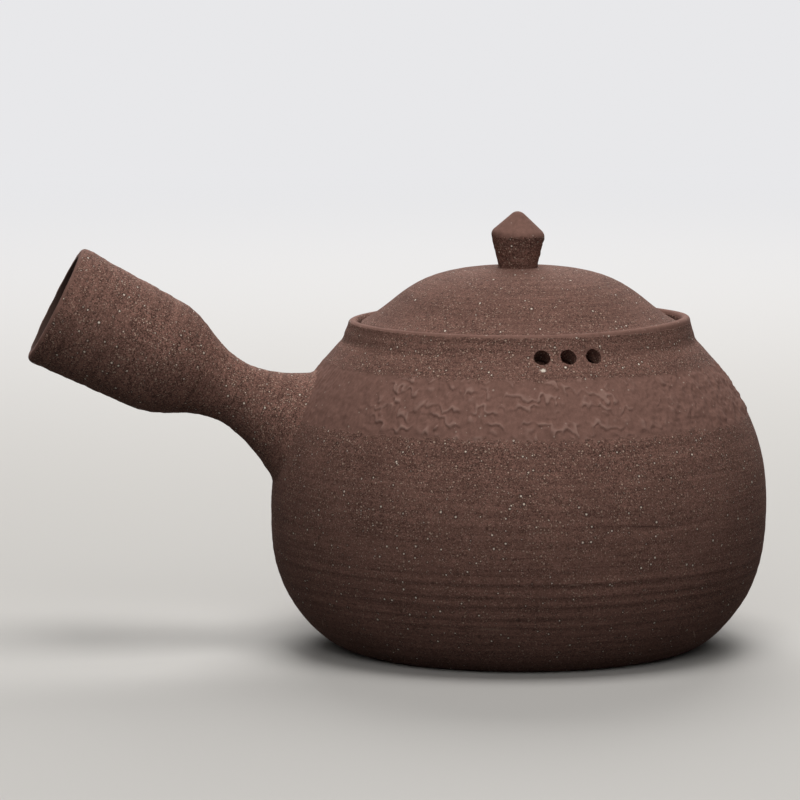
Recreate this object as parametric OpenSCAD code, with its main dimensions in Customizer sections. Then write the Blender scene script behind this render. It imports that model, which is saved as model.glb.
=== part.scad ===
// Side-handle teapot in unglazed stoneware: a thrown round body with a lid set inside its rim,
// a hollow side handle, a short spout a quarter turn away from it and a ball strainer behind the spout.
// Millimetres, +Z up. The origin is the centre of the flat base, and the handle points along -X.

/* [Body] */
// Widest diameter of the belly
belly_d = 130; // [112:1:150]
// Height of the widest point above the table
belly_z = 36.5; // [32:0.5:42]
// Diameter of the flat base
base_d = 88; // [76:1:98]
// Height of the rim above the table
rim_z = 86.2; // [80:0.2:100]
// Outer diameter of the rim
rim_d = 89.6; // [80:0.2:98]
// Thickness of the thrown wall
wall = 4; // [3.2:0.1:5]
// Thickness of the floor
floor_t = 5; // [4.5:0.1:8]
// How far the underside runs on level past the base before it turns up
base_spread = 5.5; // [3:0.5:9]
// Stiffness of the curve below the belly
belly_drop = 27; // [20:0.5:30]
// Stiffness of the curve above the belly
belly_climb = 21; // [15:0.5:26]
// Stiffness of the curve where the shoulder runs into the neck
shoulder_run = 14.5; // [9:0.5:19]

/* [Neck and lid seat] */
// Height of the straight collar under the rim
collar_h = 4; // [3:0.1:5]
// How much wider the collar is at its foot than at the rim, per side
collar_lean = 1; // [0.4:0.1:1.6]
// Height of the soft bend between collar and shoulder
neck_h = 2.2; // [1.8:0.1:3]
// How much wider that bend is at its foot than at its top, per side
neck_flare = 1.1; // [0.8:0.1:1.6]
// Depth below the collar at which the two slopes would meet
neck_corner = 1.4; // [1:0.1:1.6]
// Thickness of the lip around the lid
lip_t = 2.4; // [1.8:0.1:3]
// Depth of the lid seat below the rim
seat_drop = 3.7; // [3:0.1:5]
// Width of the ledge that carries the lid
ledge_w = 3.1; // [2.2:0.1:4]
// Thickness of the ledge at its inner edge
ledge_t = 1.6; // [1.2:0.1:2.2]

/* [Vents] */
// Number of steam holes
vent_n = 3; // [1:1:5]
// Diameter of a steam hole
vent_d = 4.2; // [3:0.1:5]
// Spacing of the steam holes around the neck
vent_pitch = 6.8; // [6:0.1:9]
// Depth of the steam holes below the rim
vent_drop = 5.5; // [5:0.1:7]
// Upward slope of the steam holes, which are pierced square to the surface
vent_slope = 30; // [20:1:40]

/* [Shoulder band] */
// Depth of the band's upper edge below the rim
band_drop = 10.6; // [9:0.1:13]
// Height of the band
band_h = 14.2; // [10:0.1:16]
// Thickness of the band of fine clay let into the wall
band_t = 0.8; // [0.5:0.1:1.2]

/* [Handle] */
// Height at which the handle's axis meets the wall
handle_z = 60; // [55:0.5:63]
// Upward tilt of the handle
handle_tilt = 27; // [15:1:35]
// Length of the handle from the wall to its mouth
handle_len = 68.2; // [60:0.2:90]
// Outer diameter at the mouth
handle_d = 32.8; // [29:0.2:36]
// Wall thickness at the mouth
handle_wall = 3.1; // [2:0.1:4]
// Length of the grip from the mouth to its shoulder
grip_len = 28.2; // [22:0.2:34]
// How much slimmer the grip is at its shoulder, per side
grip_taper = 1.1; // [0:0.1:2]
// Depth of the straight socket in the grip
socket_depth = 24; // [15:1:30]
// Diameter of the handle's neck
handle_neck_d = 16.8; // [15:0.2:20]
// Height of the neck above the wall
handle_neck_at = 16.2; // [13:0.2:20]
// Diameter of the bore through the neck
handle_neck_bore = 9; // [6:0.2:10]
// Diameter to which the root flares where it is luted to the wall
root_d = 34; // [28:0.5:38]
// Depth to which that flare is drawn into the wall
root_sink = 7; // [5:0.5:9]

/* [Spout and strainer] */
// Turn from the handle to the spout
spout_turn = 80; // [70:1:110]
// Height at which the spout's axis meets the wall
spout_z = 54; // [50:0.5:56]
// Upward tilt of the spout
spout_tilt = 50; // [40:1:55]
// Length of the spout from the wall to the middle of its mouth
spout_len = 31; // [24:0.5:40]
// Outer diameter at the tip
spout_tip_d = 14; // [12:0.2:18]
// Diameter of the mouth
spout_mouth_d = 9.2; // [7:0.2:10]
// Diameter to which the spout's root flares
spout_root_d = 29; // [25:0.5:32]
// Depth to which that flare is drawn into the wall
spout_root_sink = 13; // [11:0.5:15]
// Slant of the mouth, which leaves the pouring lip the longer side
spout_cut = 20; // [0:1:30]
// Diameter of the pouring hole in the wall
pour_d = 16; // [12:0.5:17]
// Overlap of the strainer's rim on the wall around that hole
strainer_lap = 1.5; // [1:0.1:3]
// Thickness of the strainer
strainer_t = 2; // [1.5:0.1:3]
// Diameter of a strainer hole
strainer_hole_d = 2.4; // [1.5:0.1:2.6]
// Number of rings of strainer holes around the middle one
strainer_rings = 2; // [1:1:2]

/* [Lid] */
// Gap between the lid's edge and the lip
lid_gap = 0.9; // [0.4:0.1:1.5]
// Thickness of the lid's edge
lid_edge_t = 2.6; // [2:0.1:4]
// Rise of the dome above the edge
lid_rise = 14.5; // [10:0.1:22]
// Thickness of the dome
lid_wall = 3.2; // [2.4:0.1:4]
// Slope of the dome at its edge
lid_slope = 29; // [20:1:35]
// Stiffness of the dome's curve at its edge
lid_flank = 13; // [8:0.5:16]
// Half width of the dome's nearly flat top
lid_crown = 29; // [20:0.5:32]
// Gap between the locating flange and the ledge
flange_gap = 0.6; // [0.3:0.1:1]
// Depth of the locating flange below the seat
flange_h = 6; // [4:0.2:9]
// Thickness of the locating flange
flange_t = 3; // [2.4:0.1:4]
// Chamfer on the lower edges of the flange
flange_chamfer = 0.8; // [0.2:0.1:1]

/* [Knob] */
// Diameter of the knob at its foot
knob_foot_d = 9.9; // [8:0.1:13]
// Widest diameter of the knob
knob_d = 13.9; // [12:0.1:20]
// Height of the knob's lower cone
knob_cone_h = 8.4; // [5:0.1:11]
// Height of the knob's pointed cap
knob_cap_h = 6.3; // [5:0.1:10]
// Radius that softens the knob's widest edge
knob_edge_r = 1.9; // [0.6:0.1:2.4]
// Radius of the knob's rounded tip
knob_tip_r = 2.4; // [0.6:0.1:3]

/* [Hidden] */
$fn = 96;

clay = [0.34, 0.25, 0.22];
fine_clay = [0.44, 0.33, 0.29];

// Segments of the long curves, the bends and the small roundings
curve_n = 15;
bend_n = 6;
round_n = 8;
// Extra length by which a cut passes the surface that it opens
clear = 2;
// Stiffness of the handle's bends, as shares of their length: to the grip, out of the root, at its foot
grip_stiff = 0.42;
root_stiff = 0.5;
root_foot_stiff = 0.14;

// Places that follow from the sizes above
belly_r = belly_d / 2;
base_r = base_d / 2;
rim_r = rim_d / 2;
collar_foot = [rim_r + collar_lean, rim_z - collar_h];
neck_bend = [collar_foot.x + collar_lean * neck_corner / collar_h, collar_foot.y - neck_corner];
neck_foot = [collar_foot.x + neck_flare, collar_foot.y - neck_h];
lip_inner_r = rim_r - lip_t;
seat_z = rim_z - seat_drop;
throat_r = lip_inner_r - ledge_w;
band_top = rim_z - band_drop;
band_foot = band_top - band_h;
vent_z = rim_z - vent_drop;
vent_cut = 4 * wall;
pour_cut = 2 * pour_d;
spout_at = 180 - spout_turn;
vents_at = spout_at + 180;
lid_r = lip_inner_r - lid_gap;
lid_edge_z = seat_z + lid_edge_t;
lid_top = lid_edge_z + lid_rise;
flange_r = throat_r - flange_gap;
flange_in_r = flange_r - flange_t;

// Points of a cubic curve and of a quadratic one, and of an arc from angle a to angle b
function cubic(p, q, r, s, n = curve_n) =
    [for (i = [0:n]) let (t = i / n, u = 1 - t) u*u*u*p + 3*t*u*u*q + 3*t*t*u*r + t*t*t*s];
function quadratic(p, q, r, n = bend_n) =
    [for (i = [0:n]) let (t = i / n, u = 1 - t) u*u*p + 2*t*u*q + t*t*r];
function arc(centre, radius, a, b, n = round_n) =
    [for (i = [0:n]) let (w = a + (b - a) * i / n) centre + radius * [cos(w), sin(w)]];
function tail(points) = [for (i = [1:len(points) - 1]) points[i]];
function reversed(points) = [for (i = [len(points) - 1:-1:0]) points[i]];

// The curve moved inwards by a thickness t, square to its own run
function inset(points, t) =
    [for (i = [0:len(points) - 1])
        let (a = points[max(i - 1, 0)], b = points[min(i + 1, len(points) - 1)], d = (b - a) / norm(b - a))
        points[i] - t * [d.y, -d.x]];

// The outside of the body from the base up to the rim, before the lip is rounded
belly_curve = concat(
    cubic([base_r, 0], [base_r + base_spread, 0], [belly_r, belly_z - belly_drop], [belly_r, belly_z]),
    tail(cubic([belly_r, belly_z], [belly_r, belly_z + belly_climb],
               neck_foot + shoulder_run * (neck_foot - neck_bend) / norm(neck_foot - neck_bend), neck_foot)));
lip_r = lip_t / 2;
outside = concat(belly_curve, tail(quadratic(neck_foot, neck_bend, collar_foot)), [[rim_r, rim_z - lip_r]]);
inside = inset(belly_curve, wall);
floor_r = lookup(floor_t, [for (p = inside) [p.y, p.x]]);

// Radius of the outside at a height, how far the wall leans back there, and a stretch of it
function wall_r(z) = lookup(z, [for (p = outside) [p.y, p.x]]);
function wall_lean(z) = atan((wall_r(z - 1) - wall_r(z + 1)) / 2);
function stretch(low, high) =
    concat([[wall_r(low), low]], [for (p = outside) if (p.y > low && p.y < high) p], [[wall_r(high), high]]);

// The hollow inside the body, from its floor to the underside of the ledge
hollow_wall = concat([[floor_r, floor_t]], [for (p = inside) if (p.y > floor_t) p]);

band_face = stretch(band_foot, band_top);

module thrown(points) {
    rotate_extrude()
        polygon(points);
}

// Puts a piece on the wall, with its own +Z pointing outwards and up by the tilt
module on_wall(turn, height, tilt) {
    rotate([0, 0, turn])
        translate([wall_r(height), 0, height])
            rotate([0, 90 - tilt, 0])
                children();
}

// The body without its hollow, to which the roots of handle and spout are shaped
module body_form() {
    thrown(concat([[0, 0]], outside, [[0, rim_z - lip_r]]));
}

// What the body holds: the strainer is shaped to this hollow
module body_hollow() {
    thrown(concat([[0, floor_t]], hollow_wall, [[0, inside[len(inside) - 1].y]]));
}

vent_step = vent_pitch / wall_r(vent_z) * 180 / PI;

module pot_body() {
    color(clay)
        difference() {
            thrown(concat(
                [[0, 0]],
                [for (p = outside) if (p.y < band_foot) p],
                [band_face[0]],
                inset(band_face, band_t),
                [for (p = outside) if (p.y >= band_top) p],
                arc([rim_r - lip_r, rim_z - lip_r], lip_r, 0, 180),
                [[lip_inner_r, seat_z], [throat_r, seat_z], [throat_r, seat_z - ledge_t]],
                reversed(hollow_wall),
                [[0, floor_t]]));
            for (i = [0:vent_n - 1])
                on_wall(vents_at + (i - (vent_n - 1) / 2) * vent_step, vent_z, vent_slope)
                    cylinder(d = vent_d, h = vent_cut, center = true);
            on_wall(spout_at, spout_z, spout_tilt)
                cylinder(d = pour_d, h = pour_cut, center = true);
        }
}

module shoulder_band() {
    color(fine_clay)
        thrown(concat(band_face, reversed(inset(band_face, band_t))));
}

// Outline of the handle along its own axis, measured from the wall, and of its hollow
handle_r = handle_d / 2;
grip_r = handle_r - grip_taper;
handle_neck_r = handle_neck_d / 2;
socket_r = handle_r - handle_wall;
grip_end = handle_len - grip_len;
grip_bend = grip_stiff * (grip_end - handle_neck_at);
handle_lip_r = handle_wall / 2;
socket_end = handle_len - socket_depth;
root_r = root_d / 2;
root_bend_r = handle_neck_r + root_stiff * (root_r - handle_neck_r);
handle_outline = concat(
    [[0, -root_sink]],
    cubic([root_r, -root_sink], [root_bend_r, root_foot_stiff * handle_neck_at],
          [handle_neck_r, root_stiff * handle_neck_at], [handle_neck_r, handle_neck_at]),
    tail(cubic([handle_neck_r, handle_neck_at], [handle_neck_r, handle_neck_at + grip_bend],
               [grip_r, grip_end - grip_bend], [grip_r, grip_end])),
    arc([handle_r - handle_lip_r, handle_len - handle_lip_r], handle_lip_r, 0, 90),
    [[0, handle_len]]);

module handle() {
    color(clay)
        difference() {
            on_wall(180, handle_z, handle_tilt)
                difference() {
                    thrown(handle_outline);
                    translate([0, 0, socket_end])
                        cylinder(r = socket_r, h = socket_depth + clear);
                    translate([0, 0, handle_neck_at])
                        cylinder(d1 = handle_neck_bore, r2 = socket_r, h = socket_end - handle_neck_at);
                    translate([0, 0, -root_sink - clear])
                        cylinder(d = handle_neck_bore, h = root_sink + clear + handle_neck_at);
                }
            body_form();
        }
}

// Outline of the spout along its own axis, measured from the wall
spout_tip_r = spout_tip_d / 2;
spout_end = spout_len + spout_tip_r * tan(spout_cut) + clear;
spout_outline = concat(
    [[0, -spout_root_sink]],
    cubic([spout_root_d / 2, -spout_root_sink], [(spout_root_d + spout_tip_d) / 4, -spout_root_sink / 3],
          [spout_tip_r, spout_len / 3], [spout_tip_r, spout_end]),
    [[0, spout_end]]);

module spout() {
    color(clay)
        difference() {
            on_wall(spout_at, spout_z, spout_tilt)
                difference() {
                    thrown(spout_outline);
                    cylinder(d1 = pour_d, d2 = spout_mouth_d, h = spout_len);
                    translate([0, 0, spout_len])
                        cylinder(d = spout_mouth_d, h = spout_end);
                    translate([0, 0, -spout_root_sink - clear])
                        cylinder(d = pour_d, h = spout_root_sink + clear);
                    translate([0, 0, spout_len])
                        rotate([0, -spout_cut, 0])
                            translate([-spout_len, -spout_len, 0])
                                cube(2 * spout_len);
                }
            body_form();
        }
}

// The strainer is a shallow ball over the inner end of the pouring hole, square to the wall there
pour_skew = spout_tilt - wall_lean(spout_z);
strainer_z = spout_z - wall * tan(pour_skew) * cos(wall_lean(spout_z));
strainer_in_r = norm([pour_d / 2 / cos(pour_skew) + strainer_lap, wall]);
strainer_r = strainer_in_r + strainer_t;
strainer_ring_angle = 26;

module strainer() {
    color(clay)
        difference() {
            intersection() {
                body_hollow();
                on_wall(spout_at, strainer_z, wall_lean(strainer_z))
                    difference() {
                        sphere(r = strainer_r);
                        sphere(r = strainer_in_r);
                    }
            }
            on_wall(spout_at, strainer_z, wall_lean(strainer_z))
                for (ring = [0:strainer_rings], i = [0:max(6 * ring, 1) - 1])
                    rotate([0, 180 - ring * strainer_ring_angle, 360 * i / max(6 * ring, 1)])
                        translate([0, 0, strainer_in_r - clear])
                            cylinder(d = strainer_hole_d, h = strainer_t + 2 * clear);
        }
}

// Outside of the dome from its edge to the flat on which the knob stands, and its underside
lid_edge = [lid_r, lid_edge_z];
lid_curve = cubic(lid_edge, lid_edge + lid_flank * [-cos(lid_slope), sin(lid_slope)],
                  [lid_crown, lid_top], [knob_foot_d / 2, lid_top]);
lid_under = [for (p = inset(lid_curve, lid_wall)) if (p.x < flange_in_r) p];

module lid_dome() {
    color(clay)
        thrown(concat(
            [[flange_in_r, seat_z], [lid_r, seat_z]],
            lid_curve,
            [[0, lid_top], [0, lid_top - lid_wall]],
            reversed(lid_under),
            [[flange_in_r, lid_under[0].y]]));
}

module lid_flange() {
    foot = seat_z - flange_h;
    color(clay)
        thrown([
            [flange_in_r, seat_z], [flange_in_r, foot + flange_chamfer],
            [flange_in_r + flange_chamfer, foot], [flange_r - flange_chamfer, foot],
            [flange_r, foot + flange_chamfer], [flange_r, seat_z]]);
}

// The knob is an upturned cone under a pointed cap with a rounded edge and tip
knob_r = knob_d / 2;
knob_edge_z = lid_top + knob_cone_h;
knob_tip_z = knob_edge_z + knob_cap_h;
cap_slope = atan(knob_cap_h / knob_r);
cone_lean = atan((knob_r - knob_foot_d / 2) / knob_cone_h);

module knob() {
    edge_centre = [knob_r - knob_edge_r, knob_edge_z];
    tip_centre = [0, knob_tip_z - knob_tip_r];
    color(clay)
        thrown(concat(
            [[0, lid_top], [knob_foot_d / 2, lid_top]],
            arc(edge_centre, knob_edge_r, -cone_lean, 90 - cap_slope),
            arc(tip_centre, knob_tip_r, 90 - cap_slope, 90)));
}

pot_body();
shoulder_band();
handle();
spout();
strainer();
lid_dome();
lid_flange();
knob();
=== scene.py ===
import math

import bpy
import numpy as np
from mathutils import Matrix, Vector, noise


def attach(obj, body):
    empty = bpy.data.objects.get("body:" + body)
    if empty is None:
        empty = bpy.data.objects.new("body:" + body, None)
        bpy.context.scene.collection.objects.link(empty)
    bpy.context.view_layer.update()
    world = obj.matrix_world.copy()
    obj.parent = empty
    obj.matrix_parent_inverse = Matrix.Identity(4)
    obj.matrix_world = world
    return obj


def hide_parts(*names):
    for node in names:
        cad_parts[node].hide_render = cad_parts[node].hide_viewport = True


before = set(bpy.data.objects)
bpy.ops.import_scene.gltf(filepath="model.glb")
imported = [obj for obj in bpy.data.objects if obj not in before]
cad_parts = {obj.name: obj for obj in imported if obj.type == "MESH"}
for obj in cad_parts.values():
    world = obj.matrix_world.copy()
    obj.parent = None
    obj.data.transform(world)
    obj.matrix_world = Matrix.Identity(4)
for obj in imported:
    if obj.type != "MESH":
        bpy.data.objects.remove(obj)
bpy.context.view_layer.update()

# Metres in a millimetre, and how close two points are to be one
MM = 0.001
WELD = 1e-6

# An outline keeps its corner where it turns by more than this. The corner is rounded over this length,
# though never over more than this share of its sides, and gets this many points
CORNER = math.radians(30)
CORNER_SOFT = 0.35 * MM
CORNER_SHARE = 0.4
CORNER_POINTS = 4

# Faces that meet at less than this are shaded as one
SMOOTH_ANGLE = math.radians(60)

# Handle, spout and steam holes on the wall: turn about the pot's axis, height and upward tilt
HANDLE_TURN, HANDLE_Z, HANDLE_TILT = 180, 60 * MM, 27
SPOUT_TURN, SPOUT_Z, SPOUT_TILT = 100, 54 * MM, 50
VENT_TURN, VENT_Z, VENT_TILT = -80, 80.7 * MM, 30

# Turn of the side that faces the camera
FRONT_TURN = -95


# Handling of pieces

def only(piece):
    """Selects one piece and nothing else."""
    bpy.ops.object.select_all(action="DESELECT")
    piece.select_set(True)
    bpy.context.view_layer.objects.active = piece


def open_up(piece):
    """Opens a piece in edit mode with all of it selected."""
    only(piece)
    bpy.ops.object.mode_set(mode="EDIT")
    bpy.ops.mesh.select_all(action="SELECT")


def shut():
    bpy.ops.object.mode_set(mode="OBJECT")


def points_of(piece):
    """The piece's points and its normals there, one row each."""
    mesh = piece.data
    points = np.empty(3 * len(mesh.vertices), np.float32)
    normals = np.empty_like(points)
    mesh.vertices.foreach_get("co", points)
    mesh.vertices.foreach_get("normal", normals)
    return points.reshape(-1, 3).astype(float), normals.reshape(-1, 3).astype(float)


def put_points(piece, points):
    piece.data.vertices.foreach_set("co", points.astype(np.float32).ravel())
    piece.data.update()


def ramp(low, high, value):
    """0 below low, 1 above high, and a soft rise between. With low above high it falls instead."""
    t = np.clip((value - low) / (high - low), 0, 1)
    return t * t * (3 - 2 * t)


def grain(points, size, shift=0.0):
    """Smooth noise from -1 to 1 at each point, in lumps of about that size. A shift gives other lumps."""
    moved = points / size + shift
    return np.array([noise.noise(Vector(p)) for p in moved])


# Outlines cut from the frame

def walk(corners, links):
    """Corners in the order of their links: from the lowest free end, or around a ring, outer side first."""
    near = {i: [] for i in range(len(corners))}
    for a, b in links:
        near[a].append(b)
        near[b].append(a)
    ends = [i for i in near if len(near[i]) == 1]
    here = min(ends or near, key=lambda i: corners[i][::-1])
    order = []
    while here is not None:
        order.append(here)
        here = max((i for i in near[here] if i not in order), key=lambda i: corners[i][0], default=None)
    line = np.array([corners[i] for i in order])
    after = np.roll(line, -1, axis=0)
    runs_back = np.sum(line[:, 0] * after[:, 1] - after[:, 0] * line[:, 1]) < 0
    return np.roll(line[::-1], 1, axis=0) if runs_back and not ends else line


def half_section(node, own=Matrix()):
    """The outline that a piece's own half plane y = 0 cuts from its CAD node: rows of radius and height."""
    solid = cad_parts[node].copy()
    solid.data = solid.data.copy()
    bpy.context.collection.objects.link(solid)
    solid.data.transform(own.inverted())
    open_up(solid)
    bpy.ops.mesh.remove_doubles(threshold=WELD)
    bpy.ops.mesh.bisect(plane_co=(0, 0, 0), plane_no=(0, 1, 0),
                        clear_inner=True, clear_outer=True, threshold=WELD)
    bpy.ops.mesh.select_all(action="SELECT")
    bpy.ops.mesh.bisect(plane_co=(0, 0, 0), plane_no=(1, 0, 0), clear_inner=True, threshold=WELD)
    shut()
    corners = [(v.co.x, v.co.z) for v in solid.data.vertices]
    links = [tuple(e.vertices) for e in solid.data.edges]
    bpy.data.objects.remove(solid)
    return walk(corners, links)


def lengths(points):
    """Distance of each point along the outline."""
    return np.concatenate([[0], np.cumsum(np.linalg.norm(np.diff(points, axis=0), axis=1))])


def fair(points, spacing):
    """Points about that far apart on a smooth curve through the given ones."""
    chord = np.diff(points, axis=0)
    long = np.linalg.norm(chord, axis=1)
    way = chord / long[:, None]
    lean = np.vstack([way[:1], way[:-1] * long[1:, None] + way[1:] * long[:-1, None], way[-1:]])
    lean /= np.linalg.norm(lean, axis=1)[:, None]
    made = [points[:1]]
    for i, reach in enumerate(long):
        t = np.linspace(0, 1, max(1, round(reach / spacing)) + 1)[1:, None]
        made.append((2 * t**3 - 3 * t**2 + 1) * points[i] + (t**3 - 2 * t**2 + t) * reach * lean[i]
                    + (3 * t**2 - 2 * t**3) * points[i + 1] + (t**3 - t**2) * reach * lean[i + 1])
    return np.vstack(made)


def shortened(points, cut):
    """The outline without the last bit of that length."""
    along = lengths(points)
    keep = along < along[-1] - cut - WELD
    end = [np.interp(along[-1] - cut, along, points[:, k]) for k in (0, 1)]
    return np.vstack([points[keep], end])


def smooth(points, spacing, soften=CORNER_SOFT):
    """A fair outline through the points, with its corners kept and only softened."""
    chord = np.diff(points, axis=0)
    points = points[np.concatenate([[True], np.linalg.norm(chord, axis=1) > WELD])]
    chord = np.diff(points, axis=0)
    heading = np.arctan2(chord[:, 1], chord[:, 0])
    turn = np.abs((np.diff(heading) + math.pi) % (2 * math.pi) - math.pi)
    breaks = [0, *(np.nonzero(turn > CORNER)[0] + 1), len(points) - 1]
    runs = [fair(points[a:b + 1], spacing) for a, b in zip(breaks, breaks[1:])]
    t = np.linspace(0, 1, CORNER_POINTS + 2)[1:-1, None]
    for i in range(len(runs) - 1):
        corner = runs[i][-1]
        cut = min(soften, *(CORNER_SHARE * lengths(run)[-1] for run in runs[i:i + 2]))
        runs[i] = shortened(runs[i], cut)
        runs[i + 1] = shortened(runs[i + 1][::-1], cut)[::-1]
        bend = (1 - t)**2 * runs[i][-1] + 2 * t * (1 - t) * corner + t**2 * runs[i + 1][0]
        runs[i] = np.vstack([runs[i], bend])
    return np.vstack(runs)


# Turned pieces, each with its steps around the axis and with spacings for the points along its outlines

# A wheel mark runs about this far around a piece before it fades into another
WHEEL_REACH = 60 * MM

# Where a piece is luted to the wall: radius of the fillet, and how deep its edge is sunk into the clay
LUTE_FILLET = 1.2 * MM
LUTE_SINK = 0.4 * MM


def thrown(name, outline, steps, clay):
    """A turned piece: one corner is drawn out along its outline, which is then turned about the axis."""
    bpy.ops.object.select_all(action="DESELECT")
    bpy.ops.mesh.primitive_plane_add(size=MM)
    piece = bpy.context.object
    piece.name = name
    open_up(piece)
    bpy.ops.mesh.merge(type="CENTER")
    bpy.ops.transform.translate(value=(outline[0][0], 0, outline[0][1]))
    for step in np.diff(outline, axis=0):
        bpy.ops.mesh.extrude_region_move(TRANSFORM_OT_translate={"value": (step[0], 0, step[1])})
    shut()
    turn = piece.modifiers.new("turn", "SCREW")
    turn.steps = turn.render_steps = steps
    bpy.ops.object.modifier_apply(modifier=turn.name)
    open_up(piece)
    bpy.ops.mesh.remove_doubles(threshold=WELD)
    bpy.ops.mesh.normals_make_consistent(inside=False)
    shut()
    bpy.ops.object.shade_smooth_by_angle(angle=SMOOTH_ANGLE)
    piece.data.materials.append(clay)
    return piece


def cut_away(piece, cutter):
    """Cuts the cutter's shape out of a piece and throws the cutter away."""
    only(piece)
    cut = piece.modifiers.new("cut", "BOOLEAN")
    cut.object = cutter
    cut.solver = "EXACT"
    bpy.ops.object.modifier_apply(modifier=cut.name)
    bpy.data.objects.remove(cutter)
    bpy.ops.object.shade_smooth_by_angle(angle=SMOOTH_ANGLE)


def press(piece, depth):
    """Moves each point of a piece along its normal by what the function gives for points and normals."""
    points, normals = points_of(piece)
    put_points(piece, points + depth(points, normals)[:, None] * normals)


def around(points):
    """Turn of each point about the pot's axis, in degrees."""
    return np.degrees(np.arctan2(points[:, 1], points[:, 0]))


def apart(points, turn):
    """Degrees from a given turn to each point, from -180 to 180."""
    return (around(points) - turn + 180) % 360 - 180


def facing(points, normals):
    """How far each point of a turned piece faces away from the axis, from -1 to 1."""
    out = np.maximum(np.hypot(points[:, 0], points[:, 1]), WELD)
    return (points[:, 0] * normals[:, 0] + points[:, 1] * normals[:, 1]) / out


def wheel_marks(run, points, rings):
    """Rings left by the wheel, in sets of a pitch and a depth, that come and go around the piece.

    Run is the distance along the piece's profile.
    """
    marks = np.zeros(len(points))
    for pitch, depth in rings:
        marks += depth * grain(np.column_stack([points[:, :2] / WHEEL_REACH, run / pitch]), 1)
    return marks


# Profile of the wall, with the band of fine clay lying flush in it

WALL_SPACING = 0.32 * MM

body_line = half_section("pot_body")
band_line = half_section("shoulder_band")
rim = int(np.argmax(body_line[:, 1]))
LIP_Z = body_line[rim, 1]
band_low, band_top = (int(np.argmax(band_line[:, k])) for k in (0, 1))
base_edge = int(np.argmax(body_line[:rim, 0] * (body_line[:rim, 1] < WELD)))
wall_line = np.vstack([
    [p for p in body_line[base_edge:rim] if p[1] < band_line[:, 1].min()],
    band_line[band_low:band_top + 1],
    [p for p in body_line[base_edge:rim] if p[1] > band_line[:, 1].max()],
    body_line[rim]])
wall_curve = smooth(wall_line, WALL_SPACING)


def wall_radius(height):
    return np.interp(height, wall_line[:, 1], wall_line[:, 0])


def wall_lean(height):
    """Angle by which the wall leans back from upright."""
    return np.arctan((wall_radius(height - MM) - wall_radius(height + MM)) / (2 * MM))


def on_wall(turn, height, tilt):
    """Places a piece's own axes on the wall, its +Z pointing outwards and up by the tilt."""
    return (Matrix.Rotation(math.radians(turn), 4, "Z")
            @ Matrix.Translation((wall_radius(height), 0, height))
            @ Matrix.Rotation(math.radians(90 - tilt), 4, "Y"))


def lute(piece, skirt):
    """Draws a piece's foot out onto the wall in a small fillet, and sinks its edge over the skirt."""
    points, _ = points_of(piece)
    out = np.hypot(points[:, 0], points[:, 1])
    lean = wall_lean(points[:, 2])
    above = (out - wall_radius(points[:, 2])) * np.cos(lean)
    drawn = (above + np.sqrt(above**2 + LUTE_FILLET**2)) / 2 - LUTE_SINK * ramp(0, skirt, -above)
    lift = drawn - above
    points[:, :2] += (lift * np.cos(lean) / out)[:, None] * points[:, :2]
    points[:, 2] += lift * np.sin(lean)
    put_points(piece, points)


def drawn_foot(line, reach):
    """The outline with its foot drawn on in the same direction, to lie on the wall all round."""
    way = (line[0] - line[1]) / np.linalg.norm(line[0] - line[1])
    return np.vstack([line[0] + reach * way, line])


# Body

BODY_STEPS = 196
INSIDE_SPACING = 1.2 * MM
BASE_RINGS = 16

# The band lies in a bed between these heights, this deep and with ends this long
BAND_FOOT = band_line[band_low, 1]
BAND_HEAD = band_line[band_top, 1]
BED_DEPTH = 0.6 * MM
BED_END = 1.5 * MM

# Pitch and depth of the wheel marks outside, which begin above the base, and of the ridges that fingers left
# inside, between floor and throat
BODY_RINGS = ((1.1 * MM, 0.03 * MM), (3.1 * MM, 0.03 * MM))
MARKS_BEGIN = (0.5 * MM, 3 * MM)
FINGER_RINGS = ((5 * MM, 0.35 * MM),)
FINGERS_BEGIN = (8 * MM, 14 * MM)
FINGERS_END = (77 * MM, 70 * MM)

# Ridges that the turning tool left on the wall, in millimetres: height, how far they stand out and their
# half width below. Above, they are wider by the factor that follows
TURNED_RIDGES = (
    (7.5, 0.05, 0.40), (9.4, 0.07, 0.40), (11.7, 0.09, 0.35), (14.1, 0.16, 0.40), (16.5, 0.18, 0.35),
    (19.8, 0.19, 0.35), (22.3, 0.24, 0.40), (25.6, 0.18, 0.35), (28.4, 0.11, 0.45), (36.6, 0.08, 0.50),
    (40.6, 0.14, 1.00), (44.2, 0.09, 0.65), (47.0, 0.08, 0.90), (49.4, 0.06, 0.40), (51.7, 0.07, 0.40))
RIDGE_SLOPE = 2.2

# A ridge is stronger around a turn of its own near the front, and all of them at the front and the back:
# mean and swing of their strength, how many such turns there are and how far apart
RIDGE_OWN_SIDE = (0.8, 0.2)
RIDGE_FRONT_AND_BACK = (0.68, 0.32)
RIDGE_TURNS = 5
RIDGE_TURN_STEP = 40

# The lip is not quite level. It bends between these heights, rises all round by this much, and rises or
# dips further in places: turn about the axis, half width and rise
LIP_BEND = (82 * MM, 86 * MM)
LIP_RISE = 0.15 * MM
LIP_SWELLS = ((-25, 40, 0.95 * MM), (150, 34, -0.6 * MM))

# The wall is not quite round: turn about the axis and half width, height and half height above and below
# it, and how far it stands out there. The last two are on the collar, one of them a step left by the tool
WALL_SWELLS = (
    (180, 50, 21 * MM, 11 * MM, 11 * MM, 0.55 * MM), (0, 40, 8 * MM, 5 * MM, 5 * MM, -0.4 * MM),
    (0, 40, 51 * MM, 8 * MM, 8 * MM, 0.2 * MM), (-100, 45, 79.8 * MM, 2.6 * MM, 7 * MM, 0.45 * MM),
    (-128, 17, 81.4 * MM, 1.2 * MM, 0.35 * MM, 0.12 * MM))

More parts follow.
